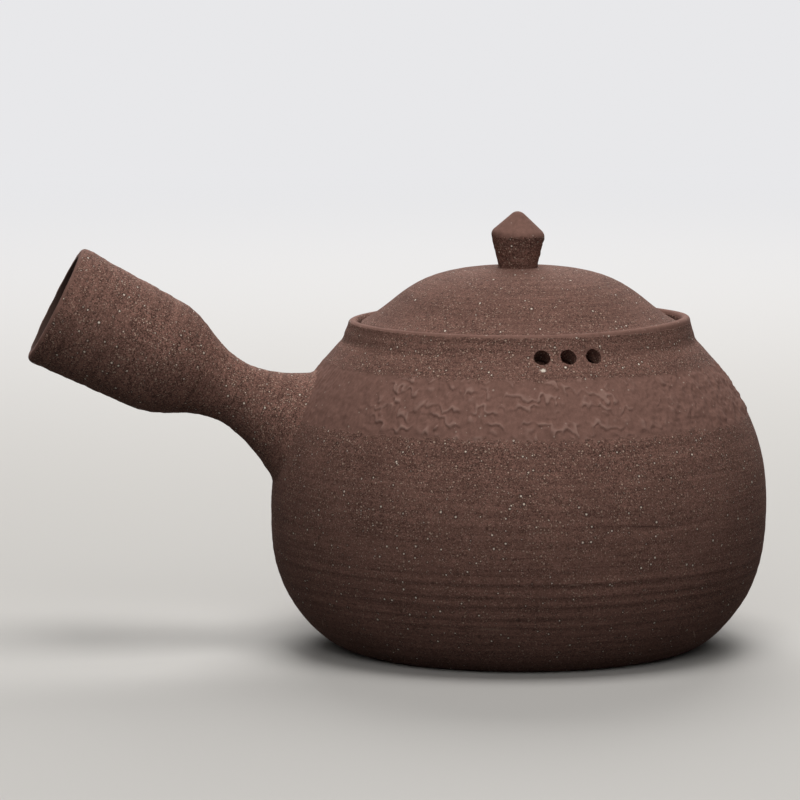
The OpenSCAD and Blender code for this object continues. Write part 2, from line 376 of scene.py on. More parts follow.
# Steam holes: turn from one to the next, radius, and the awl that pricked them, as shares of that radius at
# distances in millimetres along its axis. The holes are ragged by this depth, in lumps of this size
VENT_SIDES = (-1, 0, 1)
VENT_STEP = 8.4
VENT_R = 2.1 * MM
VENT_STEPS = 40
AWL = ((0, -7), (0.96, -7), (1, -1), (1.03, 5), (0, 5))
AWL_SPACING, AWL_SOFT = 0.5 * MM, 0.05 * MM
AWL_RAGGED, AWL_LUMPS, AWL_SHIFT = 0.16 * MM, 1.3 * MM, 5.5

# Pouring hole behind the spout: radius, and reach of the drill to either side of the wall
POUR_R = 8 * MM
POUR_REACH = 16 * MM
POUR_STEPS = 64


def wall_swell(points):
    swell = np.zeros(len(points))
    for turn, wide, level, over, under, rise in WALL_SWELLS:
        tall = np.where(points[:, 2] > level, over, under)
        swell += rise * np.exp(-(apart(points, turn) / wide) ** 2 - ((points[:, 2] - level) / tall) ** 2)
    return swell


def swayed(mean, swing, turn):
    return mean + swing * np.cos(np.radians(turn))


def turned_ridges(points):
    """How far the ridges of the turning tool stand out at each point."""
    marks = np.zeros(len(points))
    past_front = around(points) - FRONT_TURN
    for i, (level, rise, width) in enumerate(TURNED_RIDGES):
        own_turn = RIDGE_TURN_STEP * (i % RIDGE_TURNS - RIDGE_TURNS // 2)
        fades = swayed(*RIDGE_OWN_SIDE, past_front + own_turn)
        fades *= swayed(*RIDGE_FRONT_AND_BACK, 2 * past_front)
        above = points[:, 2] / MM - level
        wide = np.where(above < 0, width, RIDGE_SLOPE * width)
        marks += rise * MM * fades * np.exp(-(above / wide) ** 2 / 2)
    return marks


def body_marks(points, normals):
    """Fine wheel marks and turned ridges outside, and finger ridges inside."""
    height = points[:, 2]
    marks = wheel_marks(height, points, BODY_RINGS) + turned_ridges(points) + wall_swell(points)
    fingers = wheel_marks(height, points, FINGER_RINGS)
    fingers *= ramp(*FINGERS_BEGIN, height) * ramp(*FINGERS_END, height)
    return np.where(facing(points, normals) > 0, marks * ramp(*MARKS_BEGIN, height), fingers)


def warp_lip(body):
    points, _ = points_of(body)
    rise = np.full(len(points), LIP_RISE)
    for turn, width, swell in LIP_SWELLS:
        rise += swell * np.exp(-(apart(points, turn) / width) ** 2)
    points[:, 2] += rise * ramp(*LIP_BEND, points[:, 2])
    put_points(body, points)


def make_body(clay, shade):
    base = np.linspace((0, wall_curve[0, 1]), wall_curve[0], BASE_RINGS)
    outer = wall_curve.copy()
    into_band = np.minimum(outer[:, 1] - BAND_FOOT, BAND_HEAD - outer[:, 1])
    outer[:, 0] -= BED_DEPTH * ramp(0, BED_END, into_band)
    inner = smooth(body_line[rim:], INSIDE_SPACING)
    body = thrown("teapot_body", np.vstack([base, outer[1:], inner[1:]]), BODY_STEPS, clay)
    press(body, body_marks)
    warp_lip(body)
    awl = smooth(np.array(AWL) * (VENT_R, MM), AWL_SPACING, AWL_SOFT)
    for side in VENT_SIDES:
        # The awl carries its painted shade onto the walls of the hole that it cuts
        hole = thrown("awl", awl, VENT_STEPS, shade)
        press(hole, lambda points, _: AWL_RAGGED * grain(points, AWL_LUMPS, AWL_SHIFT * side))
        hole.data.transform(on_wall(VENT_TURN + side * VENT_STEP, VENT_Z, VENT_TILT))
        cut_away(body, hole)
    bit = np.array([(0, -POUR_REACH), (POUR_R, -POUR_REACH), (POUR_R, POUR_REACH), (0, POUR_REACH)])
    drill = thrown("drill", bit, POUR_STEPS, clay)
    drill.data.transform(on_wall(SPOUT_TURN, SPOUT_Z, SPOUT_TILT))
    cut_away(body, drill)
    return body


# Band of fine clay

BAND_STEPS = 1340
BAND_BACK_SPACING = 4 * MM
BAND_R = band_line[:, 0].mean()

# The band laps over the ends of its bed by this length. It stands this proud, and its edges sink this deep
BAND_LAP = 2.0 * MM
BAND_PROUD = 0.02 * MM
BAND_SINK = 0.03 * MM

# Its own relief gives way to the wall's marks between these distances from its edges, and stops where it no
# longer faces outwards by this much
RELIEF_ENDS = (-0.2 * MM, 1.4 * MM)
RELIEF_FACING = 0.2

# Clay dragged down the band into overlapping scales: how far apart they are, how wide and how uneven the
# tongues of their lower edges, how much of a scale its edge takes up, and how far it stands out
SCALE_PITCH = 4.6 * MM
TONGUE_WIDTH = 1.9 * MM
TONGUE_SWING = 0.9
SCALE_EDGE = 0.17
SCALE_HEIGHT = 0.56 * MM

# The edges wander over this length, and are torn by this much in lumps of this size. A scale swells evenly
# by one share and from this far down by the other. Scales are missing in patches of this size
EDGE_WANDER = 8 * MM
TEAR_REACH, TEAR_SIZE = 0.5 * MM, 1.6 * MM
SWELL_SHARES = (0.55, 0.45)
SWELL_BEGINS = 0.25
PATCH_SIZE = 4 * MM
PATCH_EDGE = (-0.4, 0.25)

# Turns between which the scales begin, get weaker by this share, and end, at the front and at the back
FRONT_BEGINS, FRONT_WEAKENS, FRONT_ENDS = (-146, -128), (-74, -60), (-34, -52)
FRONT_WEAKER = 0.45
BACK_BEGINS, BACK_ENDS = (10, 30), (140, 120)

# Turns between which the lumps grow and fade, how strong they are all over and how much more between, and
# depths and sizes of the large and small ones and of the scrapes beside the scales. Tongues and large lumps
# are drawn out upwards, and scrapes more so
LUMPS_BEGIN, LUMPS_END = (-72, -52), (40, 10)
LUMPS_ALL_OVER, LUMPS_MORE = 0.45, 0.55
LARGE_LUMPS = (0.48 * MM, 2.4 * MM)
SMALL_LUMPS = (0.22 * MM, 1.1 * MM)
SCRAPES = (0.16 * MM, 0.9 * MM)
UPRIGHT = (1, 0.7, 1)
SCRAPED = (1, 0.14, 1)


def band_flat(points):
    """The band rolled out flat: distance around it and up it."""
    up = np.interp(points[:, 2], wall_line[:, 1], lengths(wall_line))
    return np.column_stack([np.radians(around(points)) * BAND_R, up, np.zeros(len(points))])


def band_zone(points):
    """Where the scales are, from 0 to 1: at the front, weaker towards the right, and again at the back."""
    turn = around(points)
    weaker = 1 - FRONT_WEAKER * ramp(*FRONT_WEAKENS, turn)
    front = ramp(*FRONT_BEGINS, turn) * weaker * ramp(*FRONT_ENDS, turn)
    return front + ramp(*BACK_BEGINS, turn) * ramp(*BACK_ENDS, turn)


def scales(flat):
    """Clay dragged down in scales, 0 to 1: each swells towards its ragged lower edge and stops short."""
    tears = [grain(flat, TEAR_SIZE, shift) for shift in (5.0, 25.0)]
    torn = flat + TEAR_REACH * np.column_stack([*tears, np.zeros(len(flat))])
    swing = TONGUE_SWING * grain(torn * UPRIGHT, TONGUE_WIDTH, 3.1) + grain(flat, EDGE_WANDER, 11.0)
    down = (swing - torn[:, 1] / SCALE_PITCH) % 1
    patches = ramp(*PATCH_EDGE, grain(flat, PATCH_SIZE, 41.0))
    swell = SWELL_SHARES[0] * down + SWELL_SHARES[1] * ramp(SWELL_BEGINS, 1 - SCALE_EDGE, down)
    return patches * swell * ramp(1, 1 - SCALE_EDGE, down)


def band_lumps(points, flat):
    """Lumps all over the band, mostly to the right of the scales."""
    turn = around(points)
    strength = LUMPS_ALL_OVER + LUMPS_MORE * ramp(*LUMPS_BEGIN, turn) * ramp(*LUMPS_END, turn)
    large = LARGE_LUMPS[0] * grain(flat * UPRIGHT, LARGE_LUMPS[1], 61.0)
    small = SMALL_LUMPS[0] * grain(flat, SMALL_LUMPS[1], 5.0)
    return strength * (large + small)


def make_band(clay):
    past = np.maximum(BAND_FOOT - wall_curve[:, 1], wall_curve[:, 1] - BAND_HEAD)
    face, past = wall_curve[past < BAND_LAP], past[past < BAND_LAP]
    face[:, 0] += BAND_PROUD - (BAND_PROUD + BAND_SINK) * ramp(0, BAND_LAP, past)
    back = smooth(band_line[band_top + 1:], BAND_BACK_SPACING)
    band = thrown("fine_clay_band", np.vstack([face, back, face[:1]]), BAND_STEPS, clay)
    points, normals = points_of(band)
    flat = band_flat(points)
    zone = band_zone(points)
    raised = zone * scales(flat)
    lumps = band_lumps(points, flat)
    scrapes = SCRAPES[0] * grain(flat * SCRAPED, SCRAPES[1], 77.0)
    # Raised scales and lumps are marked to be painted paler: rubbed clay, and a painted highlight on them
    rubbed_and_lit = band.data.attributes.new("rubbed_and_lit", "FLOAT", "POINT")
    rubbed_and_lit.data.foreach_set("value", (raised + np.maximum(lumps, 0) / MM).astype(np.float32))
    relief = lumps + scrapes * (1 - zone) + SCALE_HEIGHT * raised
    inner = ramp(*RELIEF_ENDS, np.minimum(points[:, 2] - BAND_FOOT, BAND_HEAD - points[:, 2]))
    relief = inner * (relief + wall_swell(points)) + (1 - inner) * body_marks(points, normals)
    relief[facing(points, normals) < RELIEF_FACING] = 0
    put_points(band, points + relief[:, None] * normals)
    return band


# Handle

HANDLE_STEPS = 160
HANDLE_SPACING, SOCKET_SPACING = 0.4 * MM, 1.5 * MM

# The root lies within this height above the wall. Its foot is drawn on by this length and sinks over this
ROOT_HEIGHT = 5 * MM
HANDLE_FOOT, HANDLE_SKIRT = 6 * MM, 3 * MM

# Pitch and depth of the rings around the grip, and depth and size of the dents of the fingers that set it
HANDLE_RINGS = ((0.9 * MM, 0.07 * MM), (2.4 * MM, 0.12 * MM))
HANDLE_DENTS = (0.16 * MM, 3.5 * MM)

# Shade is painted into the bore inside this radius, beyond this distance from the wall
HANDLE_BORE_SHADE = (14.0 * MM, 44 * MM)

handle_axes = on_wall(HANDLE_TURN, HANDLE_Z, HANDLE_TILT)
handle_line = half_section("handle", handle_axes)
HANDLE_MOUTH = handle_line[:, 1].max()


def handle_marks(points, normals):
    """Fine rings around the grip, and the dents of the fingers that set it."""
    marks = wheel_marks(points[:, 2], points, HANDLE_RINGS)
    marks += HANDLE_DENTS[0] * grain(points, HANDLE_DENTS[1], 9.0)
    return np.where(facing(points, normals) > 0, marks, 0)


def make_handle(clay):
    line = handle_line
    mouth = int(np.argmax(line[:, 1]))
    root = int(np.argmax(line[:mouth, 0] * (line[:mouth, 1] < ROOT_HEIGHT)))
    outer = smooth(drawn_foot(line[root:mouth + 1], HANDLE_FOOT), HANDLE_SPACING)
    inner = smooth(line[mouth:], SOCKET_SPACING)
    handle = thrown("side_handle", np.vstack([outer, inner[1:], outer[:1]]), HANDLE_STEPS, clay)
    press(handle, handle_marks)
    handle.data.transform(handle_axes)
    lute(handle, HANDLE_SKIRT)
    return handle


# Spout

SPOUT_STEPS = 128
SPOUT_SPACING, CHANNEL_SPACING = 0.4 * MM, 1.0 * MM

# The foot is drawn on by this length, and sinks over this one
SPOUT_FOOT, SPOUT_SKIRT = 8 * MM, 1 * MM

# The tip is cut at this slope, which begins this far from the wall
TIP_SLOPE = math.tan(math.radians(20))
TIP_BEGINS = 8 * MM

spout_axes = on_wall(SPOUT_TURN, SPOUT_Z, SPOUT_TILT)


def make_spout(clay):
    line = half_section("spout", spout_axes)
    tip = int(np.argmax(line[:, 1]))
    root = int(np.argmax(line[:tip, 0]))
    outer = smooth(drawn_foot(line[root:tip + 1], SPOUT_FOOT), SPOUT_SPACING)
    inner = smooth(line[tip:], CHANNEL_SPACING)
    spout = thrown("pouring_spout", np.vstack([outer, inner[1:], outer[:1]]), SPOUT_STEPS, clay)
    press(spout, handle_marks)
    points, _ = points_of(spout)
    tip_r, tip_z = line[tip]
    points[:, 2] += TIP_SLOPE * (points[:, 0] - tip_r) * ramp(TIP_BEGINS, tip_z, points[:, 2])
    put_points(spout, points)
    spout.data.transform(spout_axes)
    lute(spout, SPOUT_SKIRT)
    return spout


# Lid

LID_STEPS = 240
FLANGE_STEPS = 160
DOME_SPACING, UNDERSIDE_SPACING, FLANGE_SPACING = 0.4 * MM, 1.5 * MM, 1.0 * MM

# Pitch and depth of the rings around the dome
LID_RINGS = ((1.2 * MM, 0.015 * MM), (4.5 * MM, 0.03 * MM))

# On the dome, the distance along the profile is the radius less this share of the height
DOME_FALL = 0.5


def lid_marks(points, normals):
    """Fine rings around the dome."""
    run = np.hypot(points[:, 0], points[:, 1]) - DOME_FALL * points[:, 2]
    return np.where(normals[:, 2] > 0, wheel_marks(run, points, LID_RINGS), 0)


def make_lid(clay):
    line = half_section("lid_dome")
    edge = int(np.argmax(line[:, 0]))
    under = smooth(line[:edge + 1], UNDERSIDE_SPACING)
    top = smooth(line[edge:], DOME_SPACING)
    lid = thrown("domed_lid", np.vstack([under, top[1:]]), LID_STEPS, clay)
    press(lid, lid_marks)
    return lid


def make_flange(clay):
    line = half_section("lid_flange")
    ring = smooth(np.vstack([line, line[:1]]), FLANGE_SPACING)
    return thrown("locating_flange", ring, FLANGE_STEPS, clay)


# Knob

KNOB_STEPS = 160
KNOB_SPACING = 0.22 * MM

# It is sunk this deep into the dome, stands a little off the axis, and its cap sits askew, lower on the
# right. The skew begins this far below the cap's edge
KNOB_SINK = 0.3 * MM
KNOB_SHIFT = 0.35 * MM
KNOB_SKEW = math.tan(math.radians(3))
SKEW_REACH = 5 * MM

# The cone's roughness ends between these distances from the cap's edge: depth and size of its large and
# small lumps, and of those on the cap
ROUGH_ENDS = (0.2 * MM, -0.8 * MM)
CONE_LUMPS = (0.14 * MM, 1.1 * MM)
CONE_GRIT = (0.08 * MM, 0.45 * MM)
CAP_LUMPS = (0.04 * MM, 3 * MM)

knob_line = half_section("knob")
KNOB_EDGE = knob_line[np.argmax(knob_line[:, 0]), 1]


def knob_marks(points, _):
    """The cone is left rough from the tool, and the cap is wiped smooth."""
    rough = ramp(*(KNOB_EDGE + end for end in ROUGH_ENDS), points[:, 2])
    cone = CONE_LUMPS[0] * grain(points, CONE_LUMPS[1], 4.0)
    cone += CONE_GRIT[0] * grain(points, CONE_GRIT[1], 8.0)
    return rough * cone + (1 - rough) * CAP_LUMPS[0] * grain(points, CAP_LUMPS[1], 2.0)


def make_knob(clay):
    line = knob_line.copy()
    line[line[:, 1] < line[0, 1] + WELD, 1] -= KNOB_SINK
    knob = thrown("lid_knob", smooth(line, KNOB_SPACING), KNOB_STEPS, clay)
    press(knob, knob_marks)
    points, _ = points_of(knob)
    points[:, 2] -= KNOB_SKEW * points[:, 0] * ramp(KNOB_EDGE - SKEW_REACH, KNOB_EDGE, points[:, 2])
    points[:, 0] -= KNOB_SHIFT
    put_points(knob, points)
    return knob


# Finishes

class Wire:
    """A value in a shader: sums and products of wires add the Math nodes that work them out."""

    def __init__(self, finish, socket):
        self.finish = finish
        self.socket = socket

    def other(self, name):
        """Another output of the same node."""
        return Wire(self.finish, self.socket.node.outputs[name])

    def __add__(self, value):
        return self.finish.maths("ADD", self, value)

    def __sub__(self, value):
        return self.finish.maths("SUBTRACT", self, value)

    def __rsub__(self, value):
        return self.finish.maths("SUBTRACT", value, self)

    def __mul__(self, value):
        return self.finish.maths("MULTIPLY", self, value)

    __radd__ = __add__
    __rmul__ = __mul__

    def smaller(self, value):
        """The smaller of the two."""
        return self.finish.maths("MINIMUM", self, value)

    def larger(self, value):
        """The larger of the two."""
        return self.finish.maths("MAXIMUM", self, value)

    def is_below(self, value):
        """1 where this is below the value, otherwise 0."""
        return self.finish.maths("LESS_THAN", self, value)


class Finish:
    """A material, or the world, and the nodes that make it."""

    def __init__(self, owner):
        owner.use_nodes = True
        self.owner = owner
        self.nodes = owner.node_tree.nodes
        self.links = owner.node_tree.links

    def node(self, kind, settings=None, inputs=None, output=0):
        made = self.nodes.new(kind)
        for name, value in (settings or {}).items():
            setattr(made, name, value)
        for name, value in (inputs or {}).items():
            self.join(made.inputs[name], value)
        return Wire(self, made.outputs[output])

    def join(self, socket, value):
        if isinstance(value, Wire):
            self.links.new(value.socket, socket)
        else:
            socket.default_value = value

    def shade(self, **sockets):
        """Sets or joins sockets of the material's shader."""
        for name, value in sockets.items():
            self.join(self.nodes["Principled BSDF"].inputs[name.replace("_", " ")], value)

    def maths(self, operation, first, second):
        return self.node("ShaderNodeMath", {"operation": operation}, {0: first, 1: second})

    def vector(self, operation, first, second):
        return self.node("ShaderNodeVectorMath", {"operation": operation}, {0: first, 1: second})

    def length(self, vector):
        return self.node("ShaderNodeVectorMath", {"operation": "LENGTH"}, {0: vector}, output="Value")

    def own_axes(self, own):
        """Place on the piece in millimetres, along the piece's own axes."""
        back = own.inverted()
        place = self.node("ShaderNodeTexCoord", output="Object")
        return self.node("ShaderNodeMapping", {}, {
            "Vector": place, "Location": back.translation / MM, "Rotation": back.to_euler(),
            "Scale": (1 / MM, 1 / MM, 1 / MM)})

    def noise(self, place, size, detail=2, roughness=0.5):
        """Soft noise around 0.5 in lumps of about that many millimetres."""
        return self.node("ShaderNodeTexNoise", {}, {
            "Vector": place, "Scale": 1 / size, "Detail": detail, "Roughness": roughness})

    def ragged(self, place, size, reach):
        """Places shifted about by up to that reach, so that round grains come out irregular."""
        drift = self.noise(place, size, 1).other("Color")
        drift = self.vector("SUBTRACT", drift, (0.5, 0.5, 0.5))
        drift = self.vector("MULTIPLY", drift, (reach, reach, reach))
        return self.vector("ADD", place, drift)

    def specks(self, place, spacing, radius, share):
        """1 on specks of up to that radius, in a share of the cells that far apart, and 1 on a painted
        shadow around each.
        """
        cell = self.node("ShaderNodeTexVoronoi", {}, {"Vector": place, "Scale": 1 / spacing})
        chance = self.node("ShaderNodeSeparateColor", {}, {0: cell.other("Color")})
        size = chance.other("Green")
        size = (size * size * (1 - SMALLEST_SPECK) + SMALLEST_SPECK) * (radius / spacing)
        taken = chance.is_below(share)
        shadow = self.rise(size * SPECK_SHADOW_SIZE, size * (SPECK_SHADOW_SIZE * SPECK_CORE), cell) * taken
        return self.rise(size, size * SPECK_CORE, cell) * taken, shadow

    def grains(self, place, size):
        """A tone between 0 and 1 for each grain of about that size."""
        cell = self.node("ShaderNodeTexVoronoi", {}, {"Vector": place, "Scale": 1 / size}, output="Color")
        return self.node("ShaderNodeSeparateColor", {}, {0: cell})

    def rise(self, low, high, value):
        return self.node("ShaderNodeMapRange", {"interpolation_type": "SMOOTHSTEP"},
                         {"Value": value, "From Min": low, "From Max": high})

    def mix(self, share, under, over):
        return self.node("ShaderNodeMix", {"data_type": "RGBA"}, {0: share, 6: under, 7: over}, output=2)


CLAY_DARK = (0.07, 0.036, 0.0285, 1)
CLAY_LIGHT = (0.40, 0.213, 0.165, 1)
SAND = (0.62, 0.44, 0.34, 1)
# Mica is near white: pale grains, painted as bright as their glints
MICA = (1.0, 0.88, 0.74, 1)
FINE = (0.195, 0.104, 0.081, 1)
FINE_LIGHT = (0.30, 0.163, 0.129, 1)
FINE_RUBBED_AND_LIT = (0.43, 0.27, 0.22, 1)
# Painted shade, darker and less dark, for the walls of the steam holes
PAINTED_SHADE = (0.012, 0.008, 0.007, 1)
PAINTED_SHADE_PALE = (0.03, 0.02, 0.016, 1)
BORE_PAINTED_SHADE = (0.07, 0.042, 0.034, 1)

# Sizes of the clay's grain, grit, clouds and sandy patches in millimetres, and how its grains are shifted
GRAIN_SIZE, GRIT_SIZE, CLOUD_SIZE, SANDY_SIZE = 0.27, 0.17, 12, 9
SHIFT_SIZE, SHIFT_REACH = 0.2, 0.22

# How strongly grain, grit and clouds change its tone, how sandy it is at least, and where patches fade
GRAIN_TONE, GRIT_TONE, CLOUD_TONE = 0.7, 1.15, 0.3
LEAST_SANDY = 0.65
SANDY_FADES = (0.3, 0.65)

# Specks in it: distance apart and largest radius in millimetres, and the share of the places taken,
# which for the shining ones is each finish's own
DUST_SPECKS = (0.46, 0.26, 0.7)
SAND_SPECKS = (0.9, 0.36, 0.7)
PIT_SPECKS = (0.8, 0.26, 0.4)
MICA_SPECKS = (1.45, 0.36)
FLECK_SPECKS = (3.2, 0.42)

# Size of the smallest specks as a share of the largest, share of a speck that is full, and size of the
# painted shadow around it
SMALLEST_SPECK = 0.25
SPECK_CORE = 0.5
SPECK_SHADOW_SIZE = 2.2

# Rings of the wheel in the clay's tone: size in millimetres and strength, and how far they are drawn out
CLAY_RINGS = ((0.5, 0.6), (2.2, 0.4))
RING_SQUEEZE = 0.03

# How sandy a sanded finish is below the sanded heights, and how much sandier above them, and how much
# lighter with a painted sheen
SANDED_BELOW, SANDED_MORE, SANDED_PAINTED_SHEEN = 0.7, 0.4, 0.04

# How strongly specks, the painted shadows around them and the painted shade in pits cover the clay, and how
# far each mark stands out from it or is sunk
DUST_COVER, SAND_COVER, PIT_SHADE_COVER = 0.6, 0.95, 0.75
SAND_SHADOW_COVER, SHINE_SHADOW_COVER = 0.45, 0.6
GRIT_RELIEF, LINE_RELIEF, DUST_RELIEF, SAND_RELIEF, PIT_RELIEF = 0.6, 0.8, 0.3, 0.5, 0.7
BUMP_STRENGTH, BUMP_DEPTH = 0.8, 0.22 * MM

# The clay is matt, and smoother by this much on its shining specks
ROUGHNESS, SHINE_SMOOTHER, SPECULAR = 0.95, 0.4, 0.12

# What wiping leaves of the grit's relief, and the share of the shining specks that it takes off
WIPED_RELIEF = 0.15
WIPED_SHINE = 0.75

# The ends of a wiped strip: size of their lumps in millimetres, and shares of their raggedness by which
# they swing and over which they fade
WIPE_LUMPS = 2.2
WIPE_SWING = 1.2
WIPE_FADES = (-0.15, 0.2)

# Clouds, mottles and dust of the fine clay: size in millimetres and strength. Mottles are drawn out
# upwards, and the clay gets paler between these values of its rubbing, up to this strength: rubbed clay, and
# a painted highlight on the raised scales and lumps
FINE_CLOUD, FINE_MOTTLE, FINE_DUST = (4, 0.6), (0.9, 1.3), (0.24, 1.1)
MOTTLE_STRETCH = (1, 1, 0.45)
RUBBED_AND_LIT_FADES = (0.25, 1.0)
RUBBED_AND_LIT_COVER = 0.6

# Edges of the scuffs: size of their lumps in millimetres, and shares of a scuff's size by which they swing
# and between which they fade. A scuff reaches this many millimetres into the wall and out from it
SCUFF_LUMPS = 0.5
SCUFF_SWING = 2
SCUFF_FADES = (1.3, 0.4)
SCUFF_DEPTH = 2

# The painted shade in the bore fades in over these lengths in millimetres, across and along it
BORE_SHADE_EDGE, BORE_SHADE_MOUTH = 0.5, 2


def fine_colour(clay, place):
    """Smooth fine clay with faint clouds, paler on its raised scales and lumps: rubbed clay there, and a
    painted highlight.
    """
    cloud = clay.noise(place, FINE_CLOUD[0], 3, 0.6)
    mottle = clay.noise(clay.vector("MULTIPLY", place, MOTTLE_STRETCH), FINE_MOTTLE[0], 2, 0.6)
    dust = clay.noise(place, FINE_DUST[0], 2, 0.6)
    tone = (cloud - 0.5) * FINE_CLOUD[1] + (mottle - 0.5) * FINE_MOTTLE[1] + (dust - 0.5) * FINE_DUST[1]
    colour = clay.mix(tone + 0.5, FINE, FINE_LIGHT)
    rubbed_and_lit = clay.node("ShaderNodeAttribute", {"attribute_name": "rubbed_and_lit"}, output="Fac")
    return clay.mix(clay.rise(*RUBBED_AND_LIT_FADES, rubbed_and_lit) * RUBBED_AND_LIT_COVER, colour, FINE_RUBBED_AND_LIT)


def wiped_share(clay, place, run, strips):
    """1 on the strips that were wiped smooth, each with its two ends and how ragged they are."""
    share = None
    for low, high, ragged in strips:
        inside = (run - low / MM).smaller(high / MM - run)
        inside = inside + (clay.noise(place, WIPE_LUMPS, 3, 0.65) - 0.5) * (WIPE_SWING * ragged / MM)
        strip = clay.rise(*(fade * ragged / MM for fade in WIPE_FADES), inside)
        share = share.larger(strip) if share else strip
    return share


def scuffed(clay, colour, scuffs):
    """The colour with pale and dark scuffs on it."""
    for turn, height, lean, long, wide, strength, trace in scuffs:
        own = on_wall(turn, height, 0) @ Matrix.Rotation(math.radians(lean), 4, "Z")
        place = clay.own_axes(own)
        away = clay.length(clay.vector("MULTIPLY", place, (1 / wide, 1 / long, 1 / SCUFF_DEPTH)))
        away = away + (clay.noise(place, SCUFF_LUMPS, 3, 0.7) - 0.5) * SCUFF_SWING
        share = clay.rise(*SCUFF_FADES, away)
        colour = clay.mix(share * strength, colour, trace)
    return colour


def stoneware(name, coarse=1.0, own=Matrix(), light=0.41, lined=0.7, glint=0.5,
              dome=False, bore_shade=None, strips=(), sanded_and_sheen=None, scuffs=()):
    """Sandy unglazed stoneware turned on the piece's own axis, fine and smooth on the wiped strips."""
    clay = Finish(bpy.data.materials.new(name))
    place = clay.own_axes(own)
    x = clay.node("ShaderNodeSeparateXYZ", {}, {0: place})
    y = x.other("Y")
    run = x.other("Z")
    out = clay.length(clay.node("ShaderNodeCombineXYZ", {}, {"X": x, "Y": y}))
    if dome:
        run = out - run * DOME_FALL
    ring = clay.node("ShaderNodeCombineXYZ", {}, {"X": x * RING_SQUEEZE, "Y": y * RING_SQUEEZE, "Z": run})
    fine_lines, wide_lines = (clay.noise(ring, size) * strength for size, strength in CLAY_RINGS)
    lines = fine_lines + wide_lines
    grit = clay.noise(place, GRIT_SIZE, 3, 0.65)
    cloud = clay.noise(place, CLOUD_SIZE, 3, 0.55)
    sandy = clay.rise(*SANDY_FADES, clay.noise(place, SANDY_SIZE)) * (1 - LEAST_SANDY) + LEAST_SANDY
    if sanded_and_sheen:
        above = clay.rise(sanded_and_sheen[0] / MM, sanded_and_sheen[1] / MM, run)
        sandy = sandy * (above * SANDED_MORE + SANDED_BELOW)
        # Above the sanded heights the clay is painted lighter: a painted sheen
        light = above * SANDED_PAINTED_SHEEN + light

    # Grains, and specks that lie on them
    ragged = clay.ragged(place, SHIFT_SIZE, SHIFT_REACH)
    grain_tone = clay.grains(ragged, GRAIN_SIZE)
    dust, _ = clay.specks(ragged, *DUST_SPECKS)
    sand, sand_shadow = clay.specks(ragged, *SAND_SPECKS)
    pits, _ = clay.specks(ragged, *PIT_SPECKS)
    mica, mica_shadow = clay.specks(ragged, *MICA_SPECKS, glint)
    fleck, fleck_shadow = clay.specks(ragged, *FLECK_SPECKS, glint)
    dust = dust * sandy
    sand = sand * sandy
    sand_shadow = sand_shadow * sandy
    shine = mica.larger(fleck)
    shine_shadow = mica_shadow.larger(fleck_shadow) * SHINE_SHADOW_COVER

    # Colour and relief, first of the sandy clay and then of what was wiped
    tone = ((grain_tone - 0.5) * GRAIN_TONE + (grit - 0.5) * GRIT_TONE) * coarse * sandy
    tone = tone + (lines - 0.5) * lined + (cloud - 0.5) * CLOUD_TONE + light
    colour = clay.mix(tone, CLAY_DARK, CLAY_LIGHT)
    colour = clay.mix(dust * min(1, DUST_COVER * coarse), colour, SAND)
    # Painted shadow around the sand specks
    colour = clay.mix(sand_shadow * SAND_SHADOW_COVER, colour, CLAY_DARK)
    colour = clay.mix(sand * min(1, SAND_COVER * coarse), colour, SAND)
    # Pits are sunk in the relief and painted dark: painted shade in them
    colour = clay.mix(pits * PIT_SHADE_COVER, colour, CLAY_DARK)
    height = grit * GRIT_RELIEF + lines * (LINE_RELIEF * lined)
    height = height + dust * DUST_RELIEF + sand * SAND_RELIEF - pits * PIT_RELIEF
    if strips:
        fine = wiped_share(clay, place, run, strips)
        colour = clay.mix(fine, colour, fine_colour(clay, place))
        height = height * (1 - fine) + grit * fine * WIPED_RELIEF
        shine = shine * (1 - fine * WIPED_SHINE)
        shine_shadow = shine_shadow * (1 - fine)
    # Painted shadow around the shining specks
    colour = clay.mix(shine_shadow, colour, CLAY_DARK)
    # Shining specks painted near white: pale grains, and painted glints
    colour = scuffed(clay, clay.mix(shine, colour, MICA), scuffs)
    # Painted shade deep inside the handle's bore
    if bore_shade:
        radius, mouth = (length / MM for length in bore_shade)
        inside = clay.rise(radius, radius - BORE_SHADE_EDGE, out) * clay.rise(mouth, mouth + BORE_SHADE_MOUTH, run)
        colour = clay.mix(inside, colour, BORE_PAINTED_SHADE)
    bump = clay.node("ShaderNodeBump", {}, {
        "Strength": BUMP_STRENGTH, "Distance": BUMP_DEPTH, "Height": height})
    clay.shade(Base_Color=colour, Roughness=ROUGHNESS - shine * SHINE_SMOOTHER, Normal=bump)
    clay.shade(Specular_IOR_Level=SPECULAR)
    return clay.owner


def hole_shade(name):
    """Clay inside the steam holes, painted dark in patches: painted shade in the holes."""
    clay = Finish(bpy.data.materials.new(name))
    shade_patches = clay.noise(clay.own_axes(Matrix()), 0.8, 3, 0.6)
    colour = clay.mix(shade_patches, PAINTED_SHADE, PAINTED_SHADE_PALE)
    clay.shade(Base_Color=colour, Roughness=0.8 + shade_patches * 0.2, Specular_IOR_Level=0.1)
    return clay.owner


# Assembly

# Strips of fine clay or wiped smooth: where they begin and end on the axis, and how ragged their ends are
BAND_STRIP = (BAND_FOOT, BAND_HEAD, 3.3 * MM)
# The wiped lip and the mouth of the handle are a little paler, which is also a painted highlight along their
# rims
LIP_STRIP_AND_HIGHLIGHT = (LIP_Z - 0.45 * MM, LIP_Z + 3 * MM, 0.5 * MM)
CAP_STRIP = (KNOB_EDGE, KNOB_EDGE + 20 * MM, 3.3 * MM)
MOUTH_STRIP_AND_HIGHLIGHT = (HANDLE_MOUTH - 0.6 * MM, HANDLE_MOUTH + 3 * MM, 0.4 * MM)

